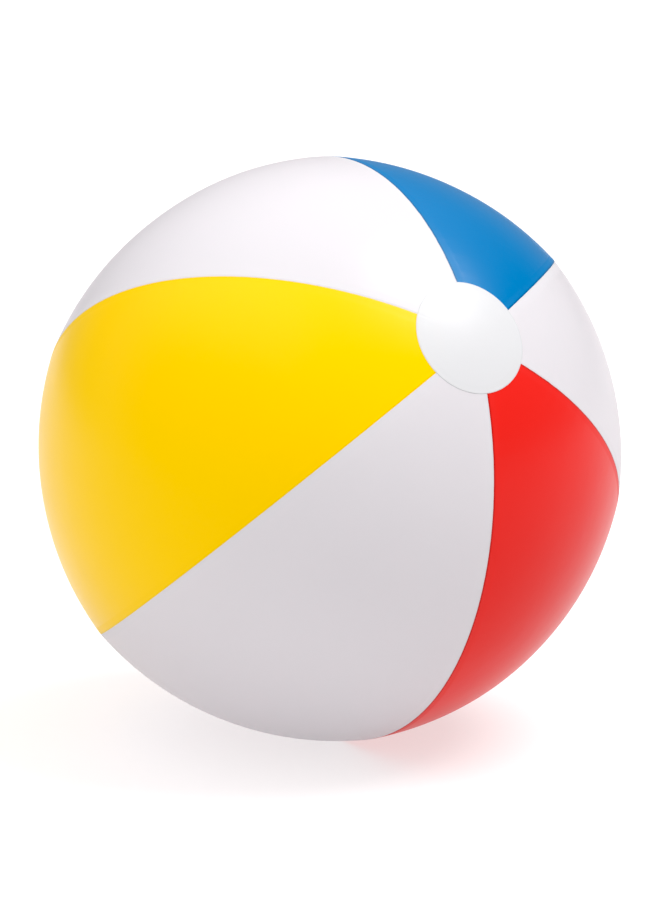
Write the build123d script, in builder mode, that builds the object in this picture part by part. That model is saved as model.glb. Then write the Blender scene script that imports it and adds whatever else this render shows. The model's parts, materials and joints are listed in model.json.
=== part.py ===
"""Inflatable beach ball: six welded film gores, two end discs and a push-in valve.

Every piece is modelled about the ball's own polar axis, with the ball's centre at the origin:
the blank end disc faces +Z in that axis system. The valve pieces are modelled with their
mouth towards +Z and are turned over to the other pole. write_piece() then lays the whole ball
over, so that it rests on its side with the blank disc up at the front and the valve low at the
back, clear of the floor.
"""

from build123d import *
from math import cos, radians, sin, sqrt
import os

os.makedirs("parts", exist_ok=True)

# ---- driving dimensions, mm and degrees ----
# the skin
SEAM_RADIUS = 195.0  # centre to a seam, at the equator
GORE_RADIUS = 192.2  # centre to the middle of a gore, at the equator
POLE_RADIUS = 197.3  # centre to a pole
FILM = 0.25  # thickness of the vinyl film
GORES = ["yellow", "white_1", "red", "white_2", "blue", "white_3"]
FIRST_GORE_AZIMUTH = 178.0  # middle of the yellow gore, about the polar axis
LAY_ANGLE = 60.0  # how far the polar axis leans forward from upright
LAP_OWN = 3.0  # a weld's width on the gore that carries its lap
LAP_NEXT = 5.0  # and under the gore beside it
WELD_PRESS = 0.05  # how far the weld is pressed in from outside
TIP_RADIUS = 24.0  # the gore tips stop this far from the polar axis
DISC_RADIUS = 37.5

# the valve's flange, skirt and stem
FLANGE_RADIUS = 23.0
FLANGE_DEPTH = 0.8
VALVE_HOLE_RADIUS = 15.0
WEB = 0.8  # thickness of the soft skirt round the stem
WEB_DEPTH = 11.0  # where the skirt meets the stem, below the pole
WEB_BEND = 4.0  # outer radius of the skirt's corner
STEM_RADIUS = 6.2
STEM_LENGTH = 15.0
STEM_MOUTH = POLE_RADIUS - 1.0
BORE_RADIUS = 4.2
LIP_RADIUS = 7.0
LIP_HEIGHT = 1.2
LIP_ROUND = 0.4

# the plug's tether
RING_RADIUS = 7.8
RING_HEIGHT = 1.6
RING_DROP = 0.2  # the ring's top, below the lip
STRAP_REACH = 11.0  # where the strap starts to turn back, from the stem's axis
STRAP_WIDTH = 4.0
STRAP = 1.2

# the plug
HEAD_RADIUS = 7.5
HEAD_HEIGHT = 2.2
HEAD_CHAMFER = 0.8
PIN_RADIUS = 4.15  # 0.05 mm running clearance in the bore
PIN_NECK_RADIUS = 3.8
PIN_TIP_RADIUS = 3.3
PIN_LENGTH = 8.5
PIN_RIB = 1.2  # height of each sealing rib, and of the gap between them
PIN_CORE_RADIUS = 2.2
PIN_CORE_DEPTH = 7.5
TAB_REACH = 12.0
TAB_WIDTH = 5.0
TAB = 1.2

# the check flap and its hinge
FLAP_RADIUS = 5.6
FLAP = 0.8
HINGE_EDGE = 5.35  # the flap's straight edge, beside its hinge
HINGE_WIDTH = 4.0
HINGE = 0.4

SLIP_GAP = 0.1  # round the stem
SEAT_GAP = 0.05  # between faces that rest on each other

# ---- derived ----
HALF_GORE = 180.0 / len(GORES)
SEAM_X = SEAM_RADIUS * cos(radians(HALF_GORE))
SEAM_Y = SEAM_RADIUS * sin(radians(HALF_GORE))
RISE = GORE_RADIUS - SEAM_X
CROWN_RADIUS = (RISE**2 + SEAM_Y**2) / (2 * RISE)  # a gore's curve from seam to seam
AXIS_SETBACK = (POLE_RADIUS**2 - GORE_RADIUS**2) / (2 * GORE_RADIUS)
REACH = 1.2 * SEAM_RADIUS  # past everything, for cutting shapes
STEM_FOOT = STEM_MOUTH - STEM_LENGTH
SEAT = STEM_MOUTH + SEAT_GAP  # underside of the plug's head
RING_TOP = STEM_MOUTH - LIP_HEIGHT - RING_DROP


def write_piece(piece, name, turned_over=False, turn=0.0):
    """Turn a piece about the polar axis, lay it over with the ball, label it and write it."""
    lay = LAY_ANGLE + (180.0 if turned_over else 0.0)
    piece.part = piece.part.rotate(Axis.Z, turn).rotate(Axis.X, lay)
    piece.part.label = name
    export_step(piece.part, f"parts/{name}.step")


def gore_skin(outer, inner):
    """The film of one gore between two depths, before it is cut to its outline.

    Its cross-curve at the equator is an arc. That arc turns about a line set back from the
    centre, which makes the gore reach a little further at the poles than at the equator.
    """
    centre = GORE_RADIUS + AXIS_SETBACK - CROWN_RADIUS
    half_width = 1.15 * SEAM_Y
    start = Plane(origin=(-AXIS_SETBACK, 0, 0), x_dir=(0, 0, -1), z_dir=(1, 0, 0))
    with BuildPart() as skin:
        with BuildSketch(start):
            with BuildLine():
                ends = []
                for depth in (outer, inner):
                    radius = CROWN_RADIUS - depth
                    x = centre + sqrt(radius**2 - half_width**2)
                    ThreePointArc((x, -half_width), (centre + radius, 0), (x, half_width))
                    ends.append(x)
                Line((ends[0], half_width), (ends[1], half_width))
                Line((ends[0], -half_width), (ends[1], -half_width))
            make_face()
        revolve(axis=Axis((-AXIS_SETBACK, 0, 0), (0, -1, 0)), revolution_arc=180)
    return skin.part


def weld_band(azimuth, start, end, outer, inner):
    """The skin of the gore at this azimuth, only in a band beside the first gore's +Y seam.

    start and end are distances from the seam plane, positive past the seam. outer and inner
    are depths below the outside of the film.
    """
    seam = Plane.XZ.rotated((0, 0, HALF_GORE))
    with BuildPart() as band:
        add(gore_skin(outer, inner).rotate(Axis.Z, azimuth))
        with BuildSketch(seam.offset(-end)):
            with Locations((REACH / 2, 0)):
                Rectangle(REACH, 2 * REACH)
        extrude(amount=end - start, mode=Mode.INTERSECT)
        Cylinder(TIP_RADIUS, 2 * REACH, mode=Mode.SUBTRACT)
    return band.part


def sector(outer, inner):
    """One gore's film, cut along its two seam planes."""
    with BuildPart() as film:
        add(gore_skin(outer, inner))
        with BuildSketch():
            edge = REACH * sin(radians(HALF_GORE)) / cos(radians(HALF_GORE))
            Polygon((0, 0), (REACH, -edge), (REACH, edge), align=None)
        extrude(amount=REACH, both=True, mode=Mode.INTERSECT)
    return film.part


def end_ring(outer, inner, hole_radius, rim_radius):
    """A layer over the ball's +Z end that follows all six gores, cut to a disc or ring."""
    cap = sector(outer, inner)
    with BuildPart() as ring:
        with PolarLocations(0, len(GORES)):
            add(cap)
        with BuildSketch():
            Circle(rim_radius)
            if hole_radius:
                Circle(hole_radius, mode=Mode.SUBTRACT)
        extrude(amount=REACH, mode=Mode.INTERSECT)
    return ring


# ---- the six gores, each carrying the lap that is welded under its neighbour ----
with BuildPart() as gore:
    add(sector(0, FILM))
    Cylinder(TIP_RADIUS, 2 * REACH, mode=Mode.SUBTRACT)
    add(weld_band(0, -LAP_OWN, LAP_NEXT, -FILM, WELD_PRESS), mode=Mode.SUBTRACT)
    add(weld_band(0, -LAP_OWN, 0, FILM, 2 * FILM))
    add(weld_band(2 * HALF_GORE, 0, LAP_NEXT, FILM, 2 * FILM))

for place, colour in enumerate(GORES):
    with BuildPart() as panel:
        add(gore.part)
    write_piece(panel, f"gore_{colour}", turn=FIRST_GORE_AZIMUTH + 2 * HALF_GORE * place)

# ---- the two end discs, welded over the gore tips ----
end_disc_front = end_ring(-FILM, 0, 0, DISC_RADIUS)
write_piece(end_disc_front, "end_disc_front", turn=FIRST_GORE_AZIMUTH)

end_disc_valve = end_ring(-FILM, 0, VALVE_HOLE_RADIUS, DISC_RADIUS)
write_piece(end_disc_valve, "end_disc_valve", turned_over=True, turn=-FIRST_GORE_AZIMUTH)

# ---- valve: flange under the disc, skirt, stem ----
valve_flange = end_ring(0, FLANGE_DEPTH, VALVE_HOLE_RADIUS, FLANGE_RADIUS)
write_piece(valve_flange, "valve_flange", turned_over=True, turn=-FIRST_GORE_AZIMUTH)

web_top = sqrt((GORE_RADIUS + AXIS_SETBACK) ** 2 - (VALVE_HOLE_RADIUS + AXIS_SETBACK) ** 2)
web_floor = POLE_RADIUS - WEB_DEPTH
wall_out = VALVE_HOLE_RADIUS
wall_in = VALVE_HOLE_RADIUS - WEB
bend_start = web_floor + WEB_BEND
bend_end = VALVE_HOLE_RADIUS - WEB_BEND
web_hole = STEM_RADIUS + SLIP_GAP
with BuildPart() as valve_web:
    with BuildSketch(Plane.XZ):
        with BuildLine():
            Polyline((wall_in, bend_start), (wall_in, web_top), (wall_out, web_top), (wall_out, bend_start))
            RadiusArc((wall_out, bend_start), (bend_end, web_floor), WEB_BEND)
            Line((bend_end, web_floor), (web_hole, web_floor))
            Polyline((web_hole, web_floor), (web_hole, web_floor + WEB), (bend_end, web_floor + WEB))
            RadiusArc((wall_in, bend_start), (bend_end, web_floor + WEB), WEB_BEND - WEB)
        make_face()
    revolve(axis=Axis.Z)
write_piece(valve_web, "valve_web", turned_over=True)

with BuildPart() as valve_stem:
    with BuildSketch(Plane.XY.offset(STEM_FOOT)):
        Circle(STEM_RADIUS)
    extrude(amount=STEM_LENGTH)
    with BuildSketch(Plane.XY.offset(STEM_MOUTH)):
        Circle(LIP_RADIUS)
    extrude(amount=-LIP_HEIGHT)
    fillet(valve_stem.edges().filter_by(GeomType.CIRCLE).group_by(SortBy.RADIUS)[-1], LIP_ROUND)
    with BuildSketch(Plane.XY.offset(STEM_FOOT)):
        Circle(BORE_RADIUS)
    extrude(amount=STEM_LENGTH, mode=Mode.SUBTRACT)
write_piece(valve_stem, "valve_stem", turned_over=True)

# ---- valve: tether, a ring round the stem and a strap that turns back to the plug ----
strap_low = RING_TOP - RING_HEIGHT / 2
strap_high = SEAT + HEAD_HEIGHT / 2
turn_middle = (strap_high + strap_low) / 2
turn_out = (strap_high - strap_low + STRAP) / 2
turn_in = turn_out - STRAP
strap_start = HEAD_RADIUS + SLIP_GAP
with BuildPart() as valve_tether:
    with BuildSketch(Plane.XY.offset(RING_TOP)):
        Circle(RING_RADIUS)
    extrude(amount=-RING_HEIGHT)
    with BuildSketch(Plane.XZ):
        with BuildLine():
            for bend in (turn_out, turn_in):
                Line((0, turn_middle - bend), (STRAP_REACH, turn_middle - bend))
                ThreePointArc(
                    (STRAP_REACH, turn_middle - bend),
                    (STRAP_REACH + bend, turn_middle),
                    (STRAP_REACH, turn_middle + bend),
                )
                Line((STRAP_REACH, turn_middle + bend), (strap_start, turn_middle + bend))
            Line((0, turn_middle - turn_out), (0, turn_middle - turn_in))
            Line((strap_start, turn_middle + turn_out), (strap_start, turn_middle + turn_in))
        make_face()
    extrude(amount=STRAP_WIDTH / 2, both=True)
    with BuildSketch(Plane.XY.offset(RING_TOP)):
        Circle(STEM_RADIUS + SLIP_GAP)
    extrude(amount=-2 * RING_HEIGHT, mode=Mode.SUBTRACT)
write_piece(valve_tether, "valve_tether", turned_over=True)

# ---- valve: plug, a head with a pull tab and a hollow pin with two sealing ribs ----
with BuildPart() as valve_plug:
    with BuildSketch(Plane.XZ):
        with BuildLine():
            Polyline(
                (0, SEAT + HEAD_HEIGHT),
                (HEAD_RADIUS - HEAD_CHAMFER, SEAT + HEAD_HEIGHT),
                (HEAD_RADIUS, SEAT + HEAD_HEIGHT - HEAD_CHAMFER),
                (HEAD_RADIUS, SEAT),
                (PIN_NECK_RADIUS, SEAT),
                (PIN_NECK_RADIUS, SEAT - 2 * PIN_RIB),
                (PIN_RADIUS, SEAT - 2 * PIN_RIB),
                (PIN_RADIUS, SEAT - 3 * PIN_RIB),
                (PIN_NECK_RADIUS, SEAT - 3 * PIN_RIB),
                (PIN_NECK_RADIUS, SEAT - 4 * PIN_RIB),
                (PIN_RADIUS, SEAT - 4 * PIN_RIB),
                (PIN_RADIUS, SEAT - 5 * PIN_RIB),
                (PIN_TIP_RADIUS, SEAT - PIN_LENGTH),
                (0, SEAT - PIN_LENGTH),
                close=True,
            )
        make_face()
    revolve(axis=Axis.Z)
    with BuildSketch(Plane.XY.offset(SEAT + HEAD_HEIGHT / 2)):
        with Locations((-TAB_REACH / 2, 0)):
            SlotOverall(TAB_REACH, TAB_WIDTH)
    extrude(amount=TAB / 2, both=True)
    with BuildSketch(Plane.XY.offset(SEAT - PIN_LENGTH)):
        Circle(PIN_CORE_RADIUS)
    extrude(amount=PIN_CORE_DEPTH, mode=Mode.SUBTRACT)
write_piece(valve_plug, "valve_plug", turned_over=True)

# ---- valve: check flap and its hinge, at the stem's inner end ----
with BuildPart() as check_flap:
    with BuildSketch(Plane.XY.offset(STEM_FOOT - SEAT_GAP)):
        Circle(FLAP_RADIUS)
        with Locations((0, -HINGE_EDGE - FLAP_RADIUS)):
            Rectangle(2 * FLAP_RADIUS, 2 * FLAP_RADIUS, mode=Mode.SUBTRACT)
    extrude(amount=-FLAP)
write_piece(check_flap, "check_flap", turned_over=True)

with BuildPart() as flap_hinge:
    with BuildSketch(Plane.XY.offset(STEM_FOOT)):
        with Locations((0, -(HINGE_EDGE + SEAT_GAP + STEM_RADIUS) / 2)):
            Rectangle(HINGE_WIDTH, STEM_RADIUS - HINGE_EDGE - SEAT_GAP)
    extrude(amount=-HINGE)
write_piece(flap_hinge, "flap_hinge", turned_over=True)
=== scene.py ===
"""Looks of an inflatable beach ball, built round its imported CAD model.

The skin is six welded vinyl gores and two end discs. Each is a thin closed shell that follows one
shared surface, which has a ridge at each seam and flatter gores between. The valve sits at the pole
that faces away from the camera. Shapes are worked out about the ball's polar axis, in millimetres,
and are turned into the row frame, in metres, when a mesh is made.
"""

import json

import bmesh
import bpy
import numpy as np
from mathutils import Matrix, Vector


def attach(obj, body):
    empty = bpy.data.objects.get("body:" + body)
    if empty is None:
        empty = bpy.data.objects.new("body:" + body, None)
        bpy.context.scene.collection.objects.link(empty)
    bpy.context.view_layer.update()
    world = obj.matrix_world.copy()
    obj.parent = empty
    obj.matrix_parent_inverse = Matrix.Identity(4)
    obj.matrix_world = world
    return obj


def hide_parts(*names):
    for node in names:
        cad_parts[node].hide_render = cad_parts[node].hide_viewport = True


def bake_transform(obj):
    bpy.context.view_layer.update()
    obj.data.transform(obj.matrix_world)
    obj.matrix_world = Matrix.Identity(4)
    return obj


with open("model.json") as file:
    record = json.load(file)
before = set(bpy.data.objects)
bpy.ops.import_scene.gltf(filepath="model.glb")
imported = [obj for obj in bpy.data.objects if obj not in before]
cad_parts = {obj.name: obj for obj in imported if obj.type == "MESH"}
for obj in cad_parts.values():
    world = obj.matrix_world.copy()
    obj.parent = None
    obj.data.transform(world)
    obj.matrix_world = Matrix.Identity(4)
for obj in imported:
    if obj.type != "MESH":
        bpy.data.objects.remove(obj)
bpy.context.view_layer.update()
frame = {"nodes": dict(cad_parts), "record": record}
RECORD = frame["record"]
NODES = frame["nodes"]
MM = 0.001

# ---- the ball's own axes, from the record's mounts ----
MOUNTS = {mount["name"]: mount for mount in RECORD["mounts"]}
VALVE_WAY = np.array(MOUNTS["inflation_port"]["axis"], float)
VALVE_WAY /= np.linalg.norm(VALVE_WAY)
FLOOR_Z = MOUNTS["floor_rest"]["pos_m"][2]
SIDE_WAY = np.array([1.0, 0.0, 0.0])


def polar_axes(pole):
    """Three columns: across, along and up the axis that points at this pole."""
    return np.column_stack([SIDE_WAY, np.cross(pole, SIDE_WAY), pole])


BALL = polar_axes(-VALVE_WAY)  # +Z at the blank disc
VALVE = polar_axes(VALVE_WAY)  # +Z out of the valve


def seen_from(axes, *nodes):
    """The nodes' points along these axes, in millimetres."""
    found = [np.array([v.co for v in NODES[n].data.vertices], float) for n in nodes]
    return np.vstack(found) @ axes / MM


def from_axis(points):
    return np.hypot(points[:, 0], points[:, 1])


# ---- sizes of the skin, in millimetres, read off the CAD nodes except for the film's thickness ----
GORES = ["yellow", "white_1", "red", "white_2", "blue", "white_3"]
FILM = 0.25
gores = seen_from(BALL, *(f"gore_{colour}" for colour in GORES))
front = seen_from(BALL, "end_disc_front")
back = seen_from(VALVE, "end_disc_valve")
yellow = seen_from(BALL, "gore_yellow")
yellow_seams = yellow[from_axis(yellow) > from_axis(gores).max() - 0.1]
yellow_turn = np.mod(np.arctan2(yellow_seams[:, 1], yellow_seams[:, 0]), 2 * np.pi)
yellow_middle = (yellow_turn.min() + yellow_turn.max()) / 2
yellow_way = np.array([np.cos(yellow_middle), np.sin(yellow_middle)])
SEAM_R = from_axis(gores).max()
GORE_R = (yellow[:, :2] @ yellow_way).max()
POLE_R = front[:, 2].max() - FILM
TIP_R = from_axis(gores).min()
DISC_R = from_axis(front).max()
HOLE_R = from_axis(back).min()

# ---- sizes of the valve, in millimetres, read off the CAD nodes except for the thin walls and ribs ----
flange = seen_from(VALVE, "valve_flange")
web = seen_from(VALVE, "valve_web")
stem = seen_from(VALVE, "valve_stem")
tether = seen_from(VALVE, "valve_tether")
plug = seen_from(VALVE, "valve_plug")
flap = seen_from(VALVE, "check_flap")
hinge = seen_from(VALVE, "flap_hinge")
FLANGE_R = from_axis(flange).max()
WEB_R, WEB_HOLE_R = from_axis(web).max(), from_axis(web).min()
WEB_TOP, WEB_LOW = web[:, 2].max(), web[:, 2].min()
WEB_WALL = 0.8
LIP_R, BORE_R = from_axis(stem).max(), from_axis(stem).min()
STEM_R = from_axis(stem[stem[:, 2] < stem[:, 2].min() + 0.1]).max()
MOUTH, FOOT = stem[:, 2].max(), stem[:, 2].min()
LIP_HEIGHT = 1.2
RING_R = -tether[:, 0].min()
RING_LOW = tether[:, 2].min()
RING_HEIGHT = 1.6
STRAP = 1.2
STRAP_HALF_WIDTH = tether[tether[:, 0] > RING_R + 1][:, 1].max()
STRAP_OUT = tether[:, 0].max()
STRAP_TOP = tether[:, 2].max()
HEAD_R = plug[:, 0].max()
HEAD_TOP, PIN_TIP = plug[:, 2].max(), plug[:, 2].min()
SEAT = MOUTH + 0.05
PIN_R = from_axis(plug[plug[:, 2] < SEAT - 0.1]).max()
PIN_NECK_R = PIN_R - 0.35
PIN_RIB = 1.2
PIN_CORE_R = from_axis(plug[plug[:, 2] < PIN_TIP + 0.01]).min()
PIN_CORE_DEPTH = 7.5
TAB_OUT = -plug[:, 0].min()
TAB_HALF_WIDTH = plug[plug[:, 0] < -HEAD_R - 0.5][:, 1].max()
TAB = 1.2

# ---- as made: seams drift from even spacing, and the front disc sits off centre ----
SEAM_DRIFT = {"yellow": -1.8, "white_1": -0.5, "red": 0.2, "white_2": 1.9, "blue": 1.2, "white_3": -1.0}
DISC_DRIFT = 3.4
DISC_DRIFT_AZIMUTH = np.radians(111)
LAP = 5.0  # how far a gore runs on under its neighbour
LAP_GAP = 0.02  # between the two films of a lap
WELD = 5.2  # width of the pressed band beside a seam

# ---- the skin's fine shape, in millimetres ----
BULGE = 0.10  # slow unevenness of the film
PUCKER = 0.012  # height of the puckers beside a seam
POLE_PUCKER = 0.05  # what is added to it near a pole
PUCKER_REACH = 9.0
GROOVE_DEPTH, GROOVE_WIDTH = 0.16, 0.45  # the hairline where two films meet
BAND_DEPTH, BAND_EDGE = 0.04, 0.5  # the flat band that the welding tool leaves
RIM_HEIGHT, RIM_WIDTH = 0.02, 1.2  # the soft rim just outside that band
SEED = 11

# ---- camera: the photograph's angle, with a long lens ----
CAMERA_AZIMUTH = -32.0
CAMERA_ELEVATION = 11.56
CAMERA_DISTANCE = 2.145
LENS = 128.4
AIM_OFF = (0.0006, -0.0003)  # the ball sits a little left of and above the picture's centre


def make_camera():
    azimuth, elevation = np.radians([CAMERA_AZIMUTH, CAMERA_ELEVATION])
    right = Vector((np.cos(azimuth), np.sin(azimuth), 0))
    out = Vector(
        (
            np.sin(azimuth) * np.cos(elevation),
            -np.cos(azimuth) * np.cos(elevation),
            np.sin(elevation),
        )
    )
    data = bpy.data.cameras.new("camera")
    data.lens = LENS
    data.sensor_width = 36
    data.clip_end = 100
    camera = bpy.data.objects.new("camera", data)
    camera.rotation_euler = (np.pi / 2 - elevation, 0, azimuth)
    camera.location = out * CAMERA_DISTANCE + right * AIM_OFF[0] + out.cross(right) * AIM_OFF[1]
    bpy.context.scene.collection.objects.link(camera)
    bpy.context.scene.camera = camera


# ---- the shared surface of the skin ----
def seam_azimuths():
    """Where each gore starts, in radians, going round the blank pole from the yellow gore."""
    half = np.pi / len(GORES)
    starts = [
        yellow_middle - half + 2 * half * place + np.radians(SEAM_DRIFT[colour])
        for place, colour in enumerate(GORES)
    ]
    return np.array(starts + [starts[0] + 2 * np.pi])


SEAMS = seam_azimuths()


def sine_sum(rng, count, shortest, longest):
    """A repeatable wavy function of one length, with a mean size of about 1."""
    lengths = rng.uniform(shortest, longest, count)
    phases = rng.uniform(0, 2 * np.pi, count)
    sizes = rng.uniform(0.5, 1, count)
    sizes /= np.sqrt((sizes**2).sum() / 2)

    def wave(along):
        total = np.zeros_like(along)
        for length, phase, size in zip(lengths, phases, sizes):
            total += size * np.sin(2 * np.pi * along / length + phase)
        return total

    return wave


RNG = np.random.default_rng(SEED)
PUCKERS = [sine_sum(RNG, 9, 6.5, 19) for _ in GORES]
BULGES = [sine_sum(RNG, 5, 110, 260) for _ in range(3)]


def seam_distance(theta, azimuth):
    """For points on the skin, three arrays about the nearest seam.

    They are the distance to it in mm, its number, and a share from 0 mid-gore to 1 at the seam.
    """
    turned = SEAMS[0] + np.mod(azimuth - SEAMS[0], 2 * np.pi)
    gore = np.clip(np.searchsorted(SEAMS, turned, side="right") - 1, 0, len(GORES) - 1)
    width = SEAMS[gore + 1] - SEAMS[gore]
    across = (turned - SEAMS[gore]) / width
    nearest = np.where(across < 0.5, gore, (gore + 1) % len(GORES))
    distance = np.minimum(across, 1 - across) * width * SEAM_R * np.sin(theta)
    return distance, nearest, np.abs(2 * across - 1)


def skin_radius(theta, azimuth):
    """Distance from the centre to the outside of the skin, by angle from the blank pole and azimuth."""
    distance, seam, share = seam_distance(theta, azimuth)
    crest = SEAM_R + (POLE_R - SEAM_R) * np.cos(theta) ** 2
    crown = 0.92 * share**1.7 + 0.08 * share**10
    radius = crest - (SEAM_R - GORE_R) * np.sin(theta) ** 2 * (1 - crown)
    # slow unevenness of the film
    x = radius * np.sin(theta) * np.cos(azimuth)
    y = radius * np.sin(theta) * np.sin(azimuth)
    z = radius * np.cos(theta)
    for wave, way in zip(BULGES, (x + 0.3 * y, y - 0.4 * z, z + 0.2 * x)):
        radius = radius + BULGE * wave(way)
    # what follows fades out under the end discs, where the film is drawn flat
    open_skin = np.clip((SEAM_R * np.sin(theta) - TIP_R) / (DISC_R + 8 - TIP_R), 0, 1)
    open_skin = open_skin**2 * (3 - 2 * open_skin)
    # puckers that run out from each weld, stronger towards the poles
    along = SEAM_R * theta
    gather = np.zeros_like(radius)
    for number, wave in enumerate(PUCKERS):
        gather = np.where(seam == number, wave(along), gather)
    towards_pole = np.exp(-((np.sin(theta) / 0.42) ** 2))
    size = PUCKER + POLE_PUCKER * towards_pole
    radius = radius + size * gather * np.exp(-distance / PUCKER_REACH) * open_skin
    # the pressed weld: a hairline where the films meet, a flat band, and a soft rim
    groove = -GROOVE_DEPTH * np.exp(-((distance / GROOVE_WIDTH) ** 2))
    band = -BAND_DEPTH / (1 + np.exp((distance - WELD) / BAND_EDGE))
    rim = RIM_HEIGHT * np.exp(-(((distance - WELD - RIM_WIDTH) / RIM_WIDTH) ** 2))
    return radius + (groove + band + rim) * open_skin


def skin_points(theta, azimuth, depth):
    """Points on the skin at this depth below its outside, along the BALL axes, in mm."""
    radius = skin_radius(theta, azimuth) - depth
    flat = radius * np.sin(theta)
    return np.stack([flat * np.cos(azimuth), flat * np.sin(azimuth), radius * np.cos(theta)], axis=-1)


# ---- mesh making ----
def make_piece(name, points, faces, axes, material):
    """A smooth mesh from points along these axes, in mm, set in the row frame."""
    mesh = bpy.data.meshes.new(name)
    mesh.from_pydata((points @ axes.T * MM).tolist(), [], faces)
    mesh.validate()
    mesh.polygons.foreach_set("use_smooth", [True] * len(mesh.polygons))
    mesh.set_sharp_from_angle(angle=np.radians(45))
    mesh.materials.append(material)
    piece = bpy.data.objects.new(name, mesh)
    bpy.context.scene.collection.objects.link(piece)
    return piece


def add_values(piece, name, values):
    """Stores one number per point, for the materials to read."""
    attribute = piece.data.attributes.new(name, "FLOAT", "POINT")
    attribute.data.foreach_set("value", np.asarray(values, np.float32).ravel())


def grid_faces(rows, columns, first, wrap, flip):
    """Quads over a grid of points that starts at index first; wrap joins the last column to the first."""
    faces = []
    for i in range(rows - 1):
        for j in range(columns if wrap else columns - 1):
            k = (j + 1) % columns
            quad = (
                first + i * columns + j,
                first + (i + 1) * columns + j,
                first + (i + 1) * columns + k,
                first + i * columns + k,
            )
            faces.append(quad[::-1] if flip else quad)
    return faces


def shell_faces(rows, columns, wrap):
    """A closed shell of two grids, the outer one first, joined along their borders."""
    inner = rows * columns
    faces = grid_faces(rows, columns, 0, wrap, False) + grid_faces(rows, columns, inner, wrap, True)
    top = list(range(columns))
    bottom = [(rows - 1) * columns + j for j in range(columns)]
    if wrap:
        loops = [top + top[:1], (bottom + bottom[:1])[::-1]]
    else:
        left = [i * columns for i in range(rows)]
        right = [i * columns + columns - 1 for i in range(rows)]
        loops = [top + right[1:] + bottom[::-1][1:] + left[::-1][1:]]
    for loop in loops:
        for a, b in zip(loop, loop[1:]):
            faces.append((a, b, b + inner, a + inner))
    return faces


# ---- the skin's pieces ----
def across_steps():
    """Places across a gore from 0 to 1, close together at both seams."""
    gap, growth, widest = 0.28, 1.16, 3.6
    steps = [0.0]
    half_width = SEAM_R * np.pi / len(GORES)
    while steps[-1] < half_width:
        steps.append(steps[-1] + gap)
        gap = min(gap * growth, widest)
    near = np.array(steps) / steps[-1] / 2
    return np.concatenate([near, 1 - near[::-1][1:]])


def make_gore(colour, material):
    """One gore, from tip to tip, with its lap under the next gore."""
    place = GORES.index(colour)
    start, end = SEAMS[place], SEAMS[place + 1]
    rows = 380
    tip = np.arcsin((TIP_R + FILM) / POLE_R)
    theta = np.linspace(tip, np.pi - tip, rows)[:, None]
    across = across_steps()
    laps = np.array([0.12, 1.0, 2.4, LAP - 0.6, LAP])
    own = start + across[None, :] * (end - start) + 0 * theta
    under = end + laps[None, :] / (SEAM_R * np.sin(theta))
    azimuth = np.concatenate([own, under], axis=1)
    theta = theta + 0 * azimuth
    columns = azimuth.shape[1]
    depth = np.zeros(columns)
    depth[len(across):] = FILM + LAP_GAP
    outer = skin_points(theta, azimuth, depth)
    inner = skin_points(theta, azimuth, depth + FILM)
    points = np.vstack([outer.reshape(-1, 3), inner.reshape(-1, 3)])
    piece = make_piece(f"film_{colour}", points, shell_faces(rows, columns, False), BALL, material)
    add_values(piece, "seam_mm", np.tile(seam_distance(theta, azimuth)[0].ravel(), 2))
    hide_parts(f"gore_{colour}")
    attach(piece, "shell")
    return piece


def make_cap_layer(name, node, pole_sign, rings, heights, depths, drift, drift_azimuth, material):
    """A layer that follows the skin round a pole, from heights above the skin down to depths above it.

    rings are distances from the layer's own middle. pole_sign is 1 at the blank pole and -1 at the
    valve. A first ring of 0 closes the layer in the middle.
    """
    columns = 360
    closed = rings[0] == 0
    if closed:
        rings = np.concatenate([[0.3], rings[1:]])
    ring, turn = np.meshgrid(rings, np.linspace(0, 2 * np.pi, columns, endpoint=False), indexing="ij")
    x = ring * np.cos(turn) + drift * np.cos(drift_azimuth)
    y = ring * np.sin(turn) + drift * np.sin(drift_azimuth)
    azimuth = np.arctan2(y, x)
    theta = np.arcsin(np.hypot(x, y) / POLE_R)
    if pole_sign < 0:
        theta = np.pi - theta
    outer = skin_points(theta, azimuth, -heights[:, None])
    inner = skin_points(theta, azimuth, -depths[:, None])
    points = np.vstack([outer.reshape(-1, 3), inner.reshape(-1, 3)])
    rows = len(rings)
    faces = shell_faces(rows, columns, True)
    edge_mm = np.tile((rings[-1] - ring).ravel(), 2)
    if closed:
        inside = 2 * rows * columns
        low = rows * columns
        around = [(j, (j + 1) % columns) for j in range(columns)]
        hole_walls = {frozenset((j, k, j + low, k + low)) for j, k in around}
        faces = [face for face in faces if frozenset(face) not in hole_walls]
        faces += [(inside, j, k) for j, k in around]
        faces += [(inside + 1, k + low, j + low) for j, k in around]
        points = np.vstack([points, outer[0].mean(axis=0), inner[0].mean(axis=0)])
        edge_mm = np.append(edge_mm, [rings[-1], rings[-1]])
    if pole_sign < 0:
        faces = [face[::-1] for face in faces]
    piece = make_piece(name, points, faces, BALL, material)
    add_values(piece, "seam_mm", edge_mm)
    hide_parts(node)
    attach(piece, "shell")
    return piece


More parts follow.
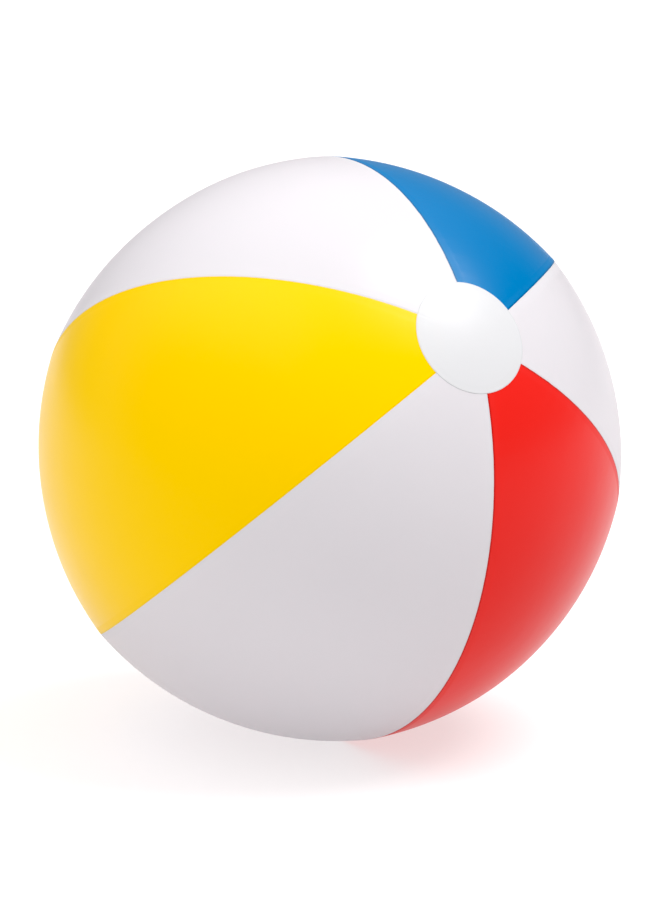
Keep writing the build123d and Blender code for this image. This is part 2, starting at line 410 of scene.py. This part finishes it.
def make_disc(name, node, pole_sign, hole, drift, material):
    """An end disc, welded over the gore tips; hole is 0 or the radius of the valve's hole."""
    rings = np.concatenate(
        [
            np.linspace(hole, TIP_R - 2, 24),
            np.linspace(TIP_R - 1.5, TIP_R + 2.5, 12),
            np.linspace(TIP_R + 3.4, DISC_R - 1.2, 12),
            DISC_R - np.array([0.9, 0.6, 0.35, 0.15, 0.0]),
        ]
    )
    # over the tips the disc lies on the gores; inside them it is one film that swells a little
    lies_on = 0.7 + 0.3 / (1 + np.exp(-(rings - TIP_R) / 1.6))
    swell = 0.08 * np.clip(1 - (rings / TIP_R) ** 2, 0, 1)
    press = -0.03 * np.exp(-(((rings - DISC_R + 2.4) / 1.3) ** 2))
    rounding = 1 - np.sqrt(np.clip(1 - ((rings - DISC_R + 0.5) / 0.5).clip(0, 1) ** 2, 0, 1))
    height = FILM * lies_on + swell + press
    heights = height - 0.9 * FILM * rounding + 0.02
    depths = height - FILM + 0.015
    return make_cap_layer(name, node, pole_sign, rings, heights, depths, drift, DISC_DRIFT_AZIMUTH, material)


# ---- the valve's pieces ----
def softened(corners, cuts, steps=6):
    """A polyline whose corners are replaced by small curves that start at these distances from them.

    The first and last points are kept as they are, and so is any corner with a cut of 0.
    """
    corners = np.array(corners, float)
    path = [corners[0]]
    for before, corner, after, cut in zip(corners, corners[1:], corners[2:], cuts):
        if cut == 0:
            path.append(corner)
            continue
        start = corner + (before - corner) * cut / np.linalg.norm(before - corner)
        end = corner + (after - corner) * cut / np.linalg.norm(after - corner)
        for t in np.linspace(0, 1, steps):
            path.append((1 - t) ** 2 * start + 2 * t * (1 - t) * corner + t**2 * end)
    path.append(corners[-1])
    return np.array(path)


def walled(path, thickness):
    """A closed outline of this thickness round a path of (radius, height) points."""
    along = np.gradient(path, axis=0)
    along /= np.linalg.norm(along, axis=1)[:, None]
    side = np.column_stack([along[:, 1], -along[:, 0]]) * thickness / 2
    return np.vstack([path + side, (path - side)[::-1]])


def lathe(outline, steps=120):
    """Points and faces of an outline of (radius, height), turned about the valve's axis.

    An outline that starts and ends on the axis makes a solid; any other is closed into a ring.
    """
    turn = np.linspace(0, 2 * np.pi, steps, endpoint=False)
    on_axis = outline[0][0] < 1e-6
    rows = outline[1:-1] if on_axis else np.vstack([outline, outline[:1]])
    points = np.vstack([np.column_stack([r * np.cos(turn), r * np.sin(turn), 0 * turn + z]) for r, z in rows])
    count = len(rows)
    if not on_axis:
        points = points[: (count - 1) * steps]
    faces = []
    for i in range(count - 1):
        below = (i + 1) % (count if on_axis else count - 1)
        for j in range(steps):
            k = (j + 1) % steps
            faces.append((i * steps + j, below * steps + j, below * steps + k, i * steps + k))
    if on_axis:
        first = len(points)
        last_row = (count - 1) * steps
        points = np.vstack([points, (0, 0, outline[0][1]), (0, 0, outline[-1][1])])
        faces += [(first, j, (j + 1) % steps) for j in range(steps)]
        faces += [(first + 1, last_row + (j + 1) % steps, last_row + j) for j in range(steps)]
    return points, faces


def strip(centres, ups, side, half_widths, half_depths, steps=28):
    """Points and faces of a flat bar with rounded edges along a path; side is one direction for all of it."""
    turn = np.linspace(0, 2 * np.pi, steps, endpoint=False)
    across = np.sign(np.cos(turn)) * np.abs(np.cos(turn)) ** 0.35
    over = np.sign(np.sin(turn)) * np.abs(np.sin(turn)) ** 0.5
    points = np.vstack(
        [
            centre + np.outer(across * wide, side) + np.outer(over * deep, up)
            for centre, up, wide, deep in zip(centres, ups, half_widths, half_depths)
        ]
    )
    count = len(centres)
    faces = []
    for i in range(count - 1):
        for j in range(steps):
            k = (j + 1) % steps
            faces.append((i * steps + j, i * steps + k, (i + 1) * steps + k, (i + 1) * steps + j))
    faces.append(tuple(range(steps))[::-1])
    faces.append(tuple(range((count - 1) * steps, count * steps)))
    return points, faces


def joined(*shapes):
    """Several (points, faces) pairs as one."""
    points, faces = [], []
    for more_points, more_faces in shapes:
        first = sum(len(p) for p in points)
        points.append(more_points)
        faces += [tuple(first + index for index in face) for face in more_faces]
    return np.vstack(points), faces


def make_valve_piece(name, node, shape, material):
    """A piece of the valve, from a shape about the valve's axis."""
    piece = make_piece(name, shape[0], shape[1], VALVE, material)
    make_faces_outward(piece)
    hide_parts(node)
    return piece


def make_faces_outward(piece):
    work = bmesh.new()
    work.from_mesh(piece.data)
    bmesh.ops.recalc_face_normals(work, faces=work.faces)
    work.to_mesh(piece.data)
    work.free()


def make_flange(material):
    """The weld ring under the disc, round the valve's hole, with its lower edges rounded."""
    edge, edge_depth, more_depth, gap = 0.8, 0.45, 0.35, 0.02
    rings = np.concatenate(
        [
            HOLE_R + np.array([0, 0.1, 0.3]),
            np.linspace(HOLE_R + edge, FLANGE_R - edge, 14),
            FLANGE_R - np.array([0.3, 0.1, 0]),
        ]
    )
    inward = np.minimum(np.minimum(rings - HOLE_R, FLANGE_R - rings) / edge, 1)
    depths = -edge_depth - more_depth * np.sqrt(1 - (1 - inward) ** 2)
    layer = make_cap_layer("flange", "valve_flange", -1, rings, 0 * rings - gap, depths, 0, 0, material)


def make_web(material):
    """The soft skirt that lets the stem sink in; on the real valve it turns over as the stem comes out, here
    it is one fixed shape.
    """
    half = WEB_WALL / 2
    floor = WEB_LOW + half
    path = softened(
        [
            (WEB_R - half, WEB_TOP),
            (WEB_R - half - 0.3, WEB_TOP - 3.2),
            (WEB_R - half - 1.2, floor + 0.2),
            (WEB_R - 6.2, floor),
            (WEB_HOLE_R, floor),
        ],
        [1.5, 3.2, 0.6],
        steps=14,
    )
    fine = np.linspace(0, len(path) - 1, 90)
    path = np.column_stack([np.interp(fine, np.arange(len(path)), path[:, axis]) for axis in (0, 1)])
    piece = make_valve_piece("skirt", "valve_web", lathe(walled(path, WEB_WALL)), material)
    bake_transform(piece)


def make_stem(material):
    """The tube that is blown into, with a rolled lip."""
    outline = softened(
        [
            (BORE_R, MOUTH - 2),
            (BORE_R, MOUTH),
            (LIP_R, MOUTH),
            (LIP_R, MOUTH - LIP_HEIGHT),
            (STEM_R, MOUTH - LIP_HEIGHT),
            (STEM_R, FOOT),
            (BORE_R, FOOT),
            (BORE_R, FOOT + 2),
        ],
        [0.35, 0.5, 0.4, 0.12, 0.3, 0.2],
    )
    piece = make_valve_piece("stem", "valve_stem", lathe(outline), material)
    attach(piece, "stem")


def make_tether(material):
    """A ring round the stem and a strap that turns back to the plug's head."""
    inside = STEM_R + 0.1
    ring = softened(
        [
            (inside, RING_LOW + RING_HEIGHT / 2),
            (inside, RING_LOW + RING_HEIGHT),
            (RING_R, RING_LOW + RING_HEIGHT),
            (RING_R, RING_LOW),
            (inside, RING_LOW),
            (inside, RING_LOW + RING_HEIGHT / 2 - 0.01),
        ],
        [0.2, 0.45, 0.45, 0.2],
    )
    low = RING_LOW + RING_HEIGHT / 2
    high = STRAP_TOP - STRAP / 2
    bend = (high - low) / 2
    turn_at = STRAP_OUT - bend - STRAP / 2
    turns = np.linspace(-np.pi / 2, np.pi / 2, 40)
    ways = np.concatenate([0 * np.arange(10) - np.pi / 2, turns, 0 * np.arange(10) + np.pi / 2])
    x = np.concatenate(
        [
            np.linspace(RING_R - 0.7, turn_at, 11)[:-1],
            turn_at + bend * np.cos(turns),
            np.linspace(turn_at, HEAD_R + 0.02, 11)[1:],
        ]
    )
    z = (high + low) / 2 + bend * np.sin(ways)
    centres = np.column_stack([x, 0 * x, z])
    ups = np.column_stack([np.cos(ways), 0 * x, np.sin(ways)])
    waist = 1 - 0.14 * np.cos(ways) ** 2
    strap = strip(centres, ups, np.array([0, 1, 0]), STRAP_HALF_WIDTH * waist, STRAP / 2 * waist)
    piece = make_valve_piece("tether", "valve_tether", joined(lathe(ring), strap), material)
    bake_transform(piece)


def make_plug(material):
    """The stopper: a dished head, a hollow pin with two sealing ribs and a tab to pull."""
    outline = softened(
        [
            (0, HEAD_TOP - 0.35),
            (HEAD_R - 2.6, HEAD_TOP - 0.3),
            (HEAD_R - 1.9, HEAD_TOP),
            (HEAD_R, HEAD_TOP - 0.1),
            (HEAD_R, SEAT),
            (PIN_NECK_R, SEAT),
            (PIN_NECK_R, SEAT - 2 * PIN_RIB),
            (PIN_R, SEAT - 2.3 * PIN_RIB),
            (PIN_R, SEAT - 2.8 * PIN_RIB),
            (PIN_NECK_R, SEAT - 3 * PIN_RIB),
            (PIN_NECK_R, SEAT - 4 * PIN_RIB),
            (PIN_R, SEAT - 4.3 * PIN_RIB),
            (PIN_R, SEAT - 4.8 * PIN_RIB),
            (PIN_NECK_R - 0.5, PIN_TIP),
            (PIN_CORE_R, PIN_TIP),
            (PIN_CORE_R, PIN_TIP + PIN_CORE_DEPTH),
            (0, PIN_TIP + PIN_CORE_DEPTH),
        ],
        [0.4, 0.4, 0.7, 0.35, 0.3, 0.3, 0.2, 0.2, 0.2, 0.3, 0.2, 0.2, 0.4, 0.2, 0.3],
    )
    x = HEAD_R - 1.2 + (TAB_OUT - HEAD_R + 1.2) * np.sin(np.linspace(0, np.pi / 2, 90))
    reach = ((x - TAB_OUT + TAB_HALF_WIDTH) / TAB_HALF_WIDTH).clip(0, 0.999)
    width = TAB_HALF_WIDTH * np.sqrt(1 - reach**2)
    grip = 0.10 * np.sin(2 * np.pi * (x - HEAD_R) / 1.25) * ((x > HEAD_R + 0.5) & (x < TAB_OUT - 0.9))
    depth = (TAB / 2 + grip) * np.clip(1.15 - reach**6, 0.25, 1)
    middle = (SEAT + HEAD_TOP) / 2
    centres = np.column_stack([-x, 0 * x, 0 * x + middle])
    ups = np.tile([0, 0, 1], (len(x), 1))
    tab = strip(centres, ups, np.array([0, 1, 0]), width, depth)
    piece = make_valve_piece("plug", "valve_plug", joined(lathe(outline), tab), material)
    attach(piece, "plug")


def make_flap(material):
    """The loose disc that shuts the stem's inner end, and the thin tongue it hangs on."""
    start, end = flap[:, 1].min(), flap[:, 1].max()
    y = end - (end - start) * (1 - np.cos(np.linspace(0, np.pi / 2, 50)))[::-1]
    radius = from_axis(flap).max()
    width = np.sqrt((radius**2 - y**2).clip(0.01, None))
    middle = (flap[:, 2].min() + flap[:, 2].max()) / 2
    half = (flap[:, 2].max() - flap[:, 2].min()) / 2
    centres = np.column_stack([0 * y, y, 0 * y + middle])
    ups = np.tile([0, 0, 1], (len(y), 1))
    disc = strip(centres, ups, np.array([1, 0, 0]), width, 0 * y + half)
    piece = make_valve_piece("flap", "check_flap", disc, material)
    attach(piece, "flap")

    y = np.linspace(hinge[:, 1].min(), hinge[:, 1].max() + 0.04, 14)
    half = (hinge[:, 2].max() - hinge[:, 2].min()) / 2
    middle = (hinge[:, 2].min() + hinge[:, 2].max()) / 2
    centres = np.column_stack([0 * y, y, 0 * y + middle])
    ups = np.tile([0, 0, 1], (len(y), 1))
    tongue = strip(centres, ups, np.array([1, 0, 0]), 0 * y + hinge[:, 0].max(), 0 * y + half)
    piece = make_valve_piece("flap_tongue", "flap_hinge", tongue, material)
    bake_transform(piece)


# ---- materials ----
class Nodes:
    """Short ways to add and join shader nodes."""

    def __init__(self, name):
        self.material = bpy.data.materials.new(name)
        self.material.use_nodes = True
        self.tree = self.material.node_tree
        self.tree.nodes.clear()

    def add(self, kind, **settings):
        node = self.tree.nodes.new(kind)
        for key, value in settings.items():
            setattr(node, key, value)
        return node

    def join(self, source, target):
        self.tree.links.new(source, target)

    def noise(self, scale, detail=3, roughness=0.5):
        place = self.add("ShaderNodeTexCoord")
        noise = self.add("ShaderNodeTexNoise")
        noise.inputs["Scale"].default_value = scale
        noise.inputs["Detail"].default_value = detail
        noise.inputs["Roughness"].default_value = roughness
        self.join(place.outputs["Object"], noise.inputs["Vector"])
        return noise.outputs["Fac"]

    def spread(self, source, low, high, to_low, to_high, smooth=False):
        """Maps source from low..high to to_low..to_high."""
        node = self.add("ShaderNodeMapRange")
        if smooth:
            node.interpolation_type = "SMOOTHSTEP"
        for key, value in zip(("From Min", "From Max", "To Min", "To Max"), (low, high, to_low, to_high)):
            node.inputs[key].default_value = value
        self.join(source, node.inputs["Value"])
        return node.outputs["Result"]

    def math(self, operation, first, second):
        node = self.add("ShaderNodeMath", operation=operation)
        for socket, value in zip(node.inputs, (first, second)):
            if isinstance(value, (int, float)):
                socket.default_value = value
            else:
                self.join(value, socket)
        return node.outputs["Value"]

    def scaled(self, colour, amount):
        """A colour, or a colour output, multiplied by a number output."""
        node = self.add("ShaderNodeVectorMath", operation="SCALE")
        if isinstance(colour, tuple):
            node.inputs[0].default_value = colour
        else:
            self.join(colour, node.inputs[0])
        self.join(amount, node.inputs["Scale"])
        return node.outputs["Vector"]

    def mix(self, amount, first, second):
        """Mixes two colours by a number output."""
        node = self.add("ShaderNodeMix", data_type="RGBA")
        self.join(amount, node.inputs["Factor"])
        for socket, value in ((node.inputs[6], first), (node.inputs[7], second)):
            if isinstance(value, tuple):
                socket.default_value = (*value, 1)
            else:
                self.join(value, socket)
        return node.outputs[2]


def film_material(name, colour, deep, glow, through_share, seam_tone, gloss):
    """Glossy welded vinyl film.

    deep is its tone where it is thick, glow the colour of the light that comes through it,
    through_share how much does, seam_tone how dark it is right beside a seam, and gloss how
    strong its reflections are.
    """
    make = Nodes(name)
    seam = make.add("ShaderNodeAttribute", attribute_name="seam_mm").outputs["Fac"]
    cloud = make.noise(scale=9, detail=4, roughness=0.55)
    grain = make.noise(scale=420, detail=2, roughness=0.6)
    thick = make.spread(cloud, 0.3, 0.7, 0.0, 0.35, smooth=True)
    body = make.mix(thick, colour, deep)
    line = make.spread(seam, 0.2, 1.6, seam_tone, 1.0, smooth=True)
    band = make.spread(seam, WELD - 0.8, WELD + 0.8, 0.99, 1.0, smooth=True)
    shade = make.math("MULTIPLY", line, band)
    body = make.scaled(body, shade)
    shine = make.spread(cloud, 0.2, 0.8, 0.27, 0.33)
    pressed = make.spread(seam, WELD - 0.5, WELD + 0.5, 0.10, 0.0, smooth=True)
    rough = make.math("ADD", shine, pressed)
    peel = make.noise(scale=75, detail=3, roughness=0.5)
    height = make.math("ADD", make.math("MULTIPLY", peel, 0.8), make.math("MULTIPLY", grain, 0.12))
    bump = make.add("ShaderNodeBump")
    bump.inputs["Strength"].default_value = 0.18
    bump.inputs["Distance"].default_value = 0.0006
    make.join(height, bump.inputs["Height"])
    surface = make.add("ShaderNodeBsdfPrincipled")
    surface.inputs["IOR"].default_value = 1.45
    surface.inputs["Specular IOR Level"].default_value = gloss
    make.join(body, surface.inputs["Base Color"])
    make.join(rough, surface.inputs["Roughness"])
    make.join(bump.outputs["Normal"], surface.inputs["Normal"])
    through = make.add("ShaderNodeBsdfTranslucent")
    through.inputs["Color"].default_value = (*glow, 1)
    make.join(bump.outputs["Normal"], through.inputs["Normal"])
    share = make.spread(seam, WELD - 0.8, WELD + 0.8, 0.92 * through_share, through_share, smooth=True)
    both = make.add("ShaderNodeMixShader")
    make.join(share, both.inputs["Fac"])
    make.join(surface.outputs[0], both.inputs[1])
    make.join(through.outputs[0], both.inputs[2])
    out = make.add("ShaderNodeOutputMaterial")
    make.join(both.outputs[0], out.inputs["Surface"])
    return make.material


def valve_material():
    """Soft moulded vinyl, a little milky, with a fine moulded grain."""
    make = Nodes("soft_valve_vinyl")
    cloud = make.noise(scale=160, detail=3, roughness=0.5)
    body = make.mix(cloud, (0.80, 0.83, 0.85), (0.70, 0.75, 0.79))
    rough = make.spread(make.noise(scale=90, detail=1, roughness=0.4), 0.3, 0.7, 0.30, 0.34)
    bump = make.add("ShaderNodeBump")
    bump.inputs["Strength"].default_value = 0.10
    bump.inputs["Distance"].default_value = 0.0001
    make.join(make.noise(scale=900, detail=1, roughness=0.4), bump.inputs["Height"])
    surface = make.add("ShaderNodeBsdfPrincipled")
    surface.inputs["Subsurface Weight"].default_value = 0.35
    surface.inputs["Subsurface Radius"].default_value = (0.003, 0.0034, 0.004)
    surface.inputs["Subsurface Scale"].default_value = 1.0
    make.join(body, surface.inputs["Base Color"])
    make.join(rough, surface.inputs["Roughness"])
    make.join(bump.outputs["Normal"], surface.inputs["Normal"])
    out = make.add("ShaderNodeOutputMaterial")
    make.join(surface.outputs[0], out.inputs["Surface"])
    return make.material


# ---- studio ----
def make_floor():
    """A wide pale floor that gives off some light, so the ball's shadow on it stays faint."""
    size = 30
    mesh = bpy.data.meshes.new("floor")
    corners = [(-size, -size, FLOOR_Z), (size, -size, FLOOR_Z), (size, size, FLOOR_Z), (-size, size, FLOOR_Z)]
    mesh.from_pydata(corners, [], [(0, 1, 2, 3)])
    make = Nodes("pale_floor")
    tone = make.spread(make.noise(scale=3, detail=2, roughness=0.5), 0.3, 0.7, 0.37, 0.39)
    grey = make.add("ShaderNodeCombineColor")
    for channel in grey.inputs:
        make.join(tone, channel)
    surface = make.add("ShaderNodeBsdfPrincipled")
    surface.inputs["Roughness"].default_value = 1.0
    surface.inputs["Specular IOR Level"].default_value = 0.0
    surface.inputs["Emission Color"].default_value = (1, 0.95, 0.955, 1)  # slightly warm
    surface.inputs["Emission Strength"].default_value = 0.65
    make.join(grey.outputs["Color"], surface.inputs["Base Color"])
    out = make.add("ShaderNodeOutputMaterial")
    make.join(surface.outputs[0], out.inputs["Surface"])
    mesh.materials.append(make.material)
    floor = bpy.data.objects.new("floor", mesh)
    bpy.context.scene.collection.objects.link(floor)


def make_sky():
    """A plain white dome, brighter overhead than at its rim."""
    world = bpy.data.worlds.new("studio")
    bpy.context.scene.world = world
    world.use_nodes = True
    tree = world.node_tree
    tree.nodes.clear()
    place = tree.nodes.new("ShaderNodeTexCoord")
    split = tree.nodes.new("ShaderNodeSeparateXYZ")
    ramp = tree.nodes.new("ShaderNodeMapRange")
    ramp.interpolation_type = "SMOOTHSTEP"
    low_height, low_glow = 0.4, 0.5
    top_height, top_glow = 1.0, 1.9
    ramp.inputs["From Min"].default_value = low_height
    ramp.inputs["From Max"].default_value = top_height
    ramp.inputs["To Min"].default_value = low_glow
    ramp.inputs["To Max"].default_value = top_glow
    glow = tree.nodes.new("ShaderNodeBackground")
    out = tree.nodes.new("ShaderNodeOutputWorld")
    tree.links.new(place.outputs["Generated"], split.inputs[0])
    tree.links.new(split.outputs["Z"], ramp.inputs["Value"])
    tree.links.new(ramp.outputs["Result"], glow.inputs["Strength"])
    tree.links.new(glow.outputs[0], out.inputs["Surface"])


def make_lamp(name, way, angle, strength):
    """A round soft light, far out along way, that looks angle degrees wide."""
    data = bpy.data.lights.new(name, "SUN")
    data.angle = np.radians(angle)
    data.energy = strength
    lamp = bpy.data.objects.new(name, data)
    lamp.rotation_euler = Vector(way).to_track_quat("Z", "Y").to_euler()
    bpy.context.scene.collection.objects.link(lamp)


def set_picture_look():
    """Plain colours, with the black point raised a little, most in red, which deepens the colours."""
    look = bpy.context.scene.view_settings
    look.view_transform = "Standard"
    look.use_curve_mapping = True
    look.curve_mapping.black_level = (0.034, 0.022, 0.022)
    look.curve_mapping.update()


make_camera()
make_floor()
make_sky()
make_lamp("top_soft_light", (0.383, -0.274, 0.882), 35, 2.4)
make_lamp("front_fill", (-0.45, -0.85, 0.10), 70, 0.45)
make_lamp("left_fill", (-0.85, 0.15, 0.50), 90, 0.9)
set_picture_look()

FILMS = {
    "yellow": {
        "colour": (0.85, 0.545, 0.0),
        "deep": (0.83, 0.515, 0.0),
        "glow": (0.95, 0.45, 0.0),
        "through_share": 0.08,
        "seam_tone": 0.92,
        "gloss": 0.28,
    },
    "red": {
        "colour": (0.71, 0.027, 0.022),
        "deep": (0.69, 0.024, 0.019),
        "glow": (0.90, 0.03, 0.02),
        "through_share": 0.10,
        "seam_tone": 0.62,
        "gloss": 0.24,
    },
    "blue": {
        "colour": (0.0, 0.155, 0.40),
        "deep": (0.0, 0.145, 0.38),
        "glow": (0.0, 0.25, 0.65),
        "through_share": 0.10,
        "seam_tone": 0.62,
        "gloss": 0.32,
    },
    "white": {
        "colour": (0.715, 0.715, 0.74),
        "deep": (0.695, 0.695, 0.72),
        "glow": (0.97, 0.73, 0.78),
        "through_share": 0.26,
        "seam_tone": 0.94,
        "gloss": 0.34,
    },
    # The end discs' white is set darker than the gores' white vinyl. This is painted shade, to hold back the
    # top light and highlight that fall on the front disc.
    "disc": {
        "colour": (0.615, 0.617, 0.63),
        "deep": (0.605, 0.607, 0.62),
        "glow": (0.95, 0.80, 0.84),
        "through_share": 0.10,
        "seam_tone": 0.97,
        "gloss": 0.34,
    },
}
VINYL = {tone: film_material(f"vinyl_{tone}", **looks) for tone, looks in FILMS.items()}
for colour in GORES:
    tone = colour.split("_")[0]
    gore = make_gore(colour, VINYL[tone])
disc = make_disc("disc_front", "end_disc_front", 1, 0, DISC_DRIFT, VINYL["disc"])
disc = make_disc("disc_valve", "end_disc_valve", -1, HOLE_R, 0, VINYL["disc"])

soft = valve_material()
for make_valve_part in (make_flange, make_web, make_stem, make_tether, make_plug, make_flap):
    make_valve_part(soft)
